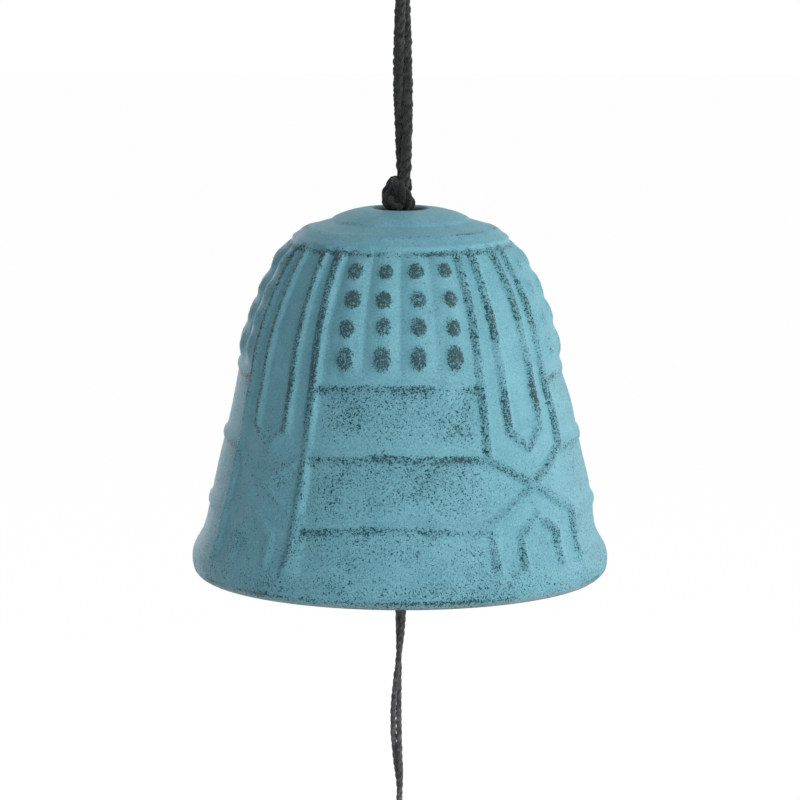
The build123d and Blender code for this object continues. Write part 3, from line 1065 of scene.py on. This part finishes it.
inner_zeros = np.zeros((len(inner_line), around))
all_radius = np.concatenate((row_radius + row_out[:, :1] * relief, inner_line[:, :1] + inner_zeros))
all_level = np.concatenate((row_level + row_out[:, 1:] * relief, inner_line[:, 1:] + inner_zeros))
bell_points = np.stack((all_radius * np.cos(turn), all_radius * np.sin(turn), all_level), axis=2)
here = np.arange(len(all_radius))[:, None] * around + np.arange(around)[None, :]
after = np.roll(here, -1, axis=1)
bell_faces = np.stack((here, np.roll(here, -1, axis=0), np.roll(after, -1, axis=0), after), axis=2)
bell_mesh = bpy.data.meshes.new("bell_casting")
bell_mesh.from_pydata(bell_points.reshape(-1, 3).tolist(), [], bell_faces.reshape(-1, 4).tolist())
bell_mesh.shade_smooth()
for mark, outer_values, inner_values in (
    ("wear", wear, inner_zeros),
    ("bare", bare, inner_zeros + 1),
    ("lip", lip, inner_zeros),
):
    attribute = bell_mesh.attributes.new(mark, "FLOAT", "POINT")
    values = np.concatenate((outer_values, inner_values))
    attribute.data.foreach_set("value", values.astype(np.float32).ravel())

bloom_scale = 420
cast_skin, cast_in, cast_out = effect_group("cast skin", (("Fineness", 3200.0),), ("Bloom", "Grain"))
wire(cast_skin, object_noise(cast_skin, bloom_scale, detail=5), (cast_out, "Bloom"))
wire(cast_skin, object_noise(cast_skin, (cast_in, "Fineness"), detail=3), (cast_out, "Grain"))

paint_roughness = 0.52
paint_gloss = 0.28
paint_bump = dict(strength=0.8, distance=0.00012)
chip_depth = 0.5
deep_blue = (0.044, 0.2, 0.265)
light_blue = (0.25, 0.57, 0.66)
pale_blue = (0.3, 0.62, 0.66)
thin_blue = (0.05, 0.17, 0.2)
lip_grey = (0.22, 0.30, 0.30)
speck_teal = (0.0, 0.058, 0.073)
iron_dark = (0.0, 0.013, 0.019)
iron_light = (0.052, 0.125, 0.143)
cast_dark = (0.022, 0.023, 0.023)
cast_light = (0.085, 0.078, 0.071)
lip_share = 0.6
pale_share = 0.5
cloud_share = 0.38
fine_speck_share = 0.4
paint, paint_tree, paint_shader = principled("rubbed paint", paint_roughness)
paint_shader.inputs["Specular IOR Level"].default_value = paint_gloss
paint_wear = mark_value(paint_tree, "wear")
paint_bare = mark_value(paint_tree, "bare")
paint_lip = mark_value(paint_tree, "lip")
paint_skin = placed_effect(paint_tree, cast_skin)


def summed_noise(first, second, second_share):
    """Two noises of the paint as one."""
    part = maths(paint_tree, "MULTIPLY", second, second_share)
    return maths(paint_tree, "MULTIPLY_ADD", first, 1 - second_share, part)


def bared(noise, whole_level, level_drop, sharpness):
    """One where a noise passes a level that sinks as the wear grows."""
    level = maths(paint_tree, "MULTIPLY_ADD", paint_wear, -level_drop, whole_level)
    return clamped(paint_tree, maths(paint_tree, "SUBTRACT", noise, level), sharpness, 0.5)


coarse_specks = object_noise(paint_tree, scale=3600, detail=2)
fine_specks = object_noise(paint_tree, scale=6500, detail=1)
speck_noise = summed_noise(coarse_specks, fine_specks, fine_speck_share)
chip_noise = object_noise(paint_tree, scale=1700, detail=4, roughness=0.62)
specks = bared(speck_noise, whole_level=0.664, level_drop=0.26, sharpness=12.0)
chips = bared(chip_noise, whole_level=0.715, level_drop=0.25, sharpness=18.0)
rubbed = maths(paint_tree, "MAXIMUM", maths(paint_tree, "MAXIMUM", specks, chips), paint_bare)
paint_grain = object_noise(paint_tree, scale=3400, detail=2)
paint_cloud = object_noise(paint_tree, scale=300, detail=4)
paint_tone = summed_noise(paint_grain, paint_cloud, cloud_share)
pale_grain = clamped(paint_tree, object_noise(paint_tree, scale=5600, detail=1), gain=9.0, shift=-5.2)
lip_tint = maths(paint_tree, "MULTIPLY", paint_lip, lip_share)
pale_tint = maths(paint_tree, "MULTIPLY", pale_grain, pale_share)
thin_paint = clamped(paint_tree, paint_wear, gain=0.9, shift=-0.3)
paint_colour = mixed(paint_tree, paint_tone, deep_blue, light_blue)
paint_colour = mixed(paint_tree, lip_tint, paint_colour, lip_grey)
paint_colour = mixed(paint_tree, pale_tint, paint_colour, pale_blue)
paint_colour = mixed(paint_tree, thin_paint, paint_colour, thin_blue)
heavy_wear = clamped(paint_tree, paint_wear, gain=4.0, shift=-1.9)
heavy_wear = maths(paint_tree, "MAXIMUM", heavy_wear, paint_bare)
iron_noise = object_noise(paint_tree, scale=3000, detail=3, roughness=0.8)
iron_colour = mixed(paint_tree, iron_noise, iron_dark, iron_light)
iron_colour = mixed(paint_tree, heavy_wear, speck_teal, iron_colour)
cast_colour = mixed(paint_tree, (paint_skin, "Bloom"), cast_dark, cast_light)
iron_colour = mixed(paint_tree, paint_bare, iron_colour, cast_colour)
wire(paint_tree, mixed(paint_tree, rubbed, paint_colour, iron_colour), (paint_shader, "Base Color"))
paint_height = maths(paint_tree, "MULTIPLY_ADD", rubbed, -chip_depth, (paint_skin, "Grain"))
bumped(paint_tree, paint_shader, paint_height, **paint_bump)
bell = new_piece("bell_casting", bell_mesh, paint)
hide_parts("bell_shell")
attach(bell, "bell")

# Clapper: a small iron disc, domed on both faces, that hangs on its knot inside the rim.
# It is bare cast iron with a brown bloom, and its thin grey cord comes down from the stop knot.
clapper_low, clapper_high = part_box("clapper")
clapper_hole_radius = 0.0013
clapper_edge = 0.0014
clapper_round = 0.0009
clapper_around = 96
clapper_level = (clapper_low.z + clapper_high.z) / 2
clapper_outline = rounded(
    [
        (clapper_hole_radius, clapper_low.z),
        (clapper_high.x, clapper_level - clapper_edge),
        (clapper_high.x, clapper_level + clapper_edge),
        (clapper_hole_radius, clapper_high.z),
    ],
    clapper_round,
    steps=4,
)
clapper_roughness = 0.55
clapper_metal = 0.6
clapper_dark = (0.03, 0.028, 0.026)
clapper_brown = (0.11, 0.085, 0.07)
clapper_bump = dict(strength=0.5, distance=0.00012)
clapper_fineness = 2400.0
iron, iron_tree, iron_shader = principled("bare iron", clapper_roughness)
iron_shader.inputs["Metallic"].default_value = clapper_metal
iron_skin = placed_effect(iron_tree, cast_skin, Fineness=clapper_fineness)
iron_bloom = mixed(iron_tree, (iron_skin, "Bloom"), clapper_dark, clapper_brown)
wire(iron_tree, iron_bloom, (iron_shader, "Base Color"))
bumped(iron_tree, iron_shader, (iron_skin, "Grain"), **clapper_bump)
clapper_mesh = turned_mesh("clapper_disc", clapper_outline, clapper_around)
clapper = new_piece("clapper_disc", clapper_mesh, iron)
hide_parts("clapper")
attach(clapper, "clapper")

thin_sizes = dict(
    plies=3, ply_offset=0.00016, ply_radius=0.00031, ply_pitch=0.0036, spacing=0.0002, unevenness=0.35
)
thin_legs = dict(legs=2, leg_offset=0.00046, leg_start=0.1, **thin_sizes)
thin_knot_share = 0.34
thin_lay = 1400.0
thin_grey = cord_material("grey cord", (0.035, 0.035, 0.036), (0.15, 0.15, 0.155), thin_lay)
stop_low, stop_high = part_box("stop_knot")
clapper_cord_low, clapper_cord_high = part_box("clapper_cord")
clapper_cord_turns = 1.2
clapper_cord_points = [
    (0, 0, (stop_low.z + stop_high.z) / 2),
    (0, 0, clapper_cord_high.z - 0.012),
    (0.0001, 0, clapper_cord_low.z + 0.012),
    (0, 0, clapper_cord_low.z - 0.001),
]
clapper_route = smooth_route("clapper route", clapper_cord_points)
clapper_cord = lay_cord(
    "clapper_cord_legs", clapper_route, material=thin_grey, leg_turns=clapper_cord_turns, **thin_legs
)
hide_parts("clapper_cord")
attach(clapper_cord, "clapper")
clapper_knot = tied_knot("clapper_knot_tied", "clapper_knot", thin_grey, cord_share=thin_knot_share)
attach(clapper_knot, "clapper")

# Tail: the same thin cord hangs on from the clapper's knot, with its two legs turned loosely.
# It sways a little on its way down, and ends in a knot over the strip.
tail_low, tail_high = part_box("tail_cord")
tail_turns = 0.97
tail_points = [
    (0, 0, (tail_high.z + clapper_low.z) / 2),
    (0.0003, 0, -0.112),
    (0.0001, 0, -0.120),
    (-0.0005, 0, -0.129),
    (-0.0004, 0, -0.136),
    (0.0003, 0, -0.143),
    (0, 0, tail_low.z - 0.001),
]
tail_route = smooth_route("tail route", tail_points)
tail_cord = lay_cord("tail_cord_legs", tail_route, material=thin_grey, leg_turns=tail_turns, **thin_legs)
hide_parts("tail_cord")
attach(tail_cord, "tail")
strip_knot = tied_knot("strip_knot_tied", "strip_knot", thin_grey, cord_share=thin_knot_share)
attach(strip_knot, "tail")

# Wind strip: a slip of plain hand-made paper, hung through a punched hole on a loop of the cord.
# It is thin, so it bows a little, and its long fibres show in the sheet.
tie_low, tie_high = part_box("strip_tie")
tie_reach = 0.00095
tie_points = [
    (0, -0.0002, tie_high.z + 0.001),
    (0, -tie_reach, tie_high.z - 0.001),
    (0, -tie_reach, tie_low.z + 0.0025),
    (0, -tie_reach, tie_low.z + 0.0006),
    (0, 0, tie_low.z + 0.0001),
    (0, tie_reach, tie_low.z + 0.0006),
    (0, tie_reach, tie_low.z + 0.0025),
    (0, tie_reach, tie_high.z - 0.001),
    (0, 0.0002, tie_high.z + 0.001),
]
tie_route = smooth_route("tie route", tie_points)
strip_tie = lay_cord("strip_tie_loop", tie_route, material=thin_grey, **single_leg, **thin_sizes)
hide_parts("strip_tie")
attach(strip_tie, "strip")

strip_low, strip_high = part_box("wind_strip")
strip_width = strip_high.x - strip_low.x
strip_length = strip_high.z - strip_low.z
paper_thickness = strip_high.y - strip_low.y
hole_drop = 0.005
strip_hole_level = strip_high.z - hole_drop
strip_hole_radius = 0.002
strip_cell = 0.001
cells_below_hole = round((strip_length - hole_drop) / strip_cell)
cells_above_hole = round(hole_drop / strip_cell)
same_place = 0.000001
patch_half = 0.004
hole_rings = 3
columns = np.arange(round(strip_width / strip_cell) + 1) * strip_cell + strip_low.x
levels = strip_hole_level + np.arange(-cells_below_hole, cells_above_hole + 1) * strip_cell
strip_points = []
strip_faces = []
strip_names = {}


def strip_point(x, z):
    """The number of the strip's point at a place, which is added if it is new."""
    key = (round(x / same_place), round(z / same_place))
    if key not in strip_names:
        strip_names[key] = len(strip_points)
        strip_points.append((x, z))
    return strip_names[key]


in_patch = patch_half - strip_cell / 4
for left, right in zip(columns[:-1], columns[1:]):
    for foot, top in zip(levels[:-1], levels[1:]):
        middle_x, middle_z = (left + right) / 2, (foot + top) / 2 - strip_hole_level
        if max(abs(middle_x), abs(middle_z)) < in_patch:
            continue
        corners = ((left, foot), (right, foot), (right, top), (left, top))
        strip_faces.append([strip_point(x, z) for x, z in corners])
patch_edge = []
for corner, way in (((-1, -1), (1, 0)), ((1, -1), (0, 1)), ((1, 1), (-1, 0)), ((-1, 1), (0, -1))):
    for step in range(round(2 * patch_half / strip_cell)):
        x, z = [corner[axis] * patch_half + way[axis] * step * strip_cell for axis in (0, 1)]
        patch_edge.append((x, z))
rings = []
for ring in range(hole_rings + 1):
    share = ring / hole_rings
    loop = []
    for x, z in patch_edge:
        angle = atan2(z, x)
        in_x = strip_hole_radius * cos(angle) - x
        in_z = strip_hole_radius * sin(angle) - z
        loop.append(strip_point(x + in_x * share, strip_hole_level + z + in_z * share))
    rings.append(loop)
for outer_ring, inner_ring in zip(rings[:-1], rings[1:]):
    for number, corner in enumerate(outer_ring):
        following = (number + 1) % len(outer_ring)
        strip_faces.append([corner, outer_ring[following], inner_ring[following], inner_ring[number]])
bow = 0.0016
bow_waves = 1.6
curl = 0.0009
twist = 0.0004
bowed = []
for x, z in strip_points:
    fall = (strip_hole_level - z) / strip_length
    side = 2 * x / strip_width
    y = bow * sin(bow_waves * pi * fall) * fall + curl * fall * side**2 + twist * fall * side
    bowed.append((x, y, z))
strip_mesh = bpy.data.meshes.new("wind_strip_paper")
strip_mesh.from_pydata(bowed, [], strip_faces)
strip_mesh.shade_smooth()

paper_roughness = 0.9
paper_bump = dict(strength=0.35, distance=0.0001)
paper_dark = (0.77, 0.725, 0.62)
paper_light = (0.92, 0.89, 0.815)
fibre_brown = (0.58, 0.51, 0.38)
fibre_share = 0.55
fibre_rise = 0.6
fibre_middle = 0.52
fibre_sharpness = 60.0
paper, paper_tree, paper_shader = principled("hand-made paper", paper_roughness)
paper_fibres = []
for scale, stretch in ((260, (1, 1, 1)), (420, (1, 1, 0.6)), (340, (0.6, 1, 1))):
    fibre_noise = object_noise(paper_tree, scale, detail=2, stretch=stretch)
    off_line = maths(paper_tree, "ABSOLUTE", maths(paper_tree, "SUBTRACT", fibre_noise, fibre_middle))
    paper_fibres.append(clamped(paper_tree, off_line, gain=-fibre_sharpness, shift=1.0))
paper_fibre = maths(paper_tree, "MAXIMUM", maths(paper_tree, "MAXIMUM", *paper_fibres[:2]), paper_fibres[2])
fibre_breaks = clamped(paper_tree, object_noise(paper_tree, scale=520, detail=3), gain=5.0, shift=-2.3)
paper_fibre = maths(paper_tree, "MULTIPLY", paper_fibre, fibre_breaks)
paper_cloud = object_noise(paper_tree, scale=240, detail=6, roughness=0.62)
paper_colour = mixed(paper_tree, paper_cloud, paper_dark, paper_light)
fibre_tint = maths(paper_tree, "MULTIPLY", paper_fibre, fibre_share)
wire(paper_tree, mixed(paper_tree, fibre_tint, paper_colour, fibre_brown), (paper_shader, "Base Color"))
paper_tooth = object_noise(paper_tree, scale=900, detail=5, roughness=0.62)
paper_height = maths(paper_tree, "MULTIPLY_ADD", paper_fibre, fibre_rise, paper_tooth)
bumped(paper_tree, paper_shader, paper_height, **paper_bump)
sharp_edge = radians(40)
wind_strip = new_piece("wind_strip_paper", strip_mesh, paper)
thickness = wind_strip.modifiers.new("thickness", "SOLIDIFY")
thickness.thickness = paper_thickness
thickness.offset = 0
made_plain(wind_strip)
wind_strip.data.set_sharp_from_angle(angle=sharp_edge)
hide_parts("wind_strip")
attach(wind_strip, "strip")
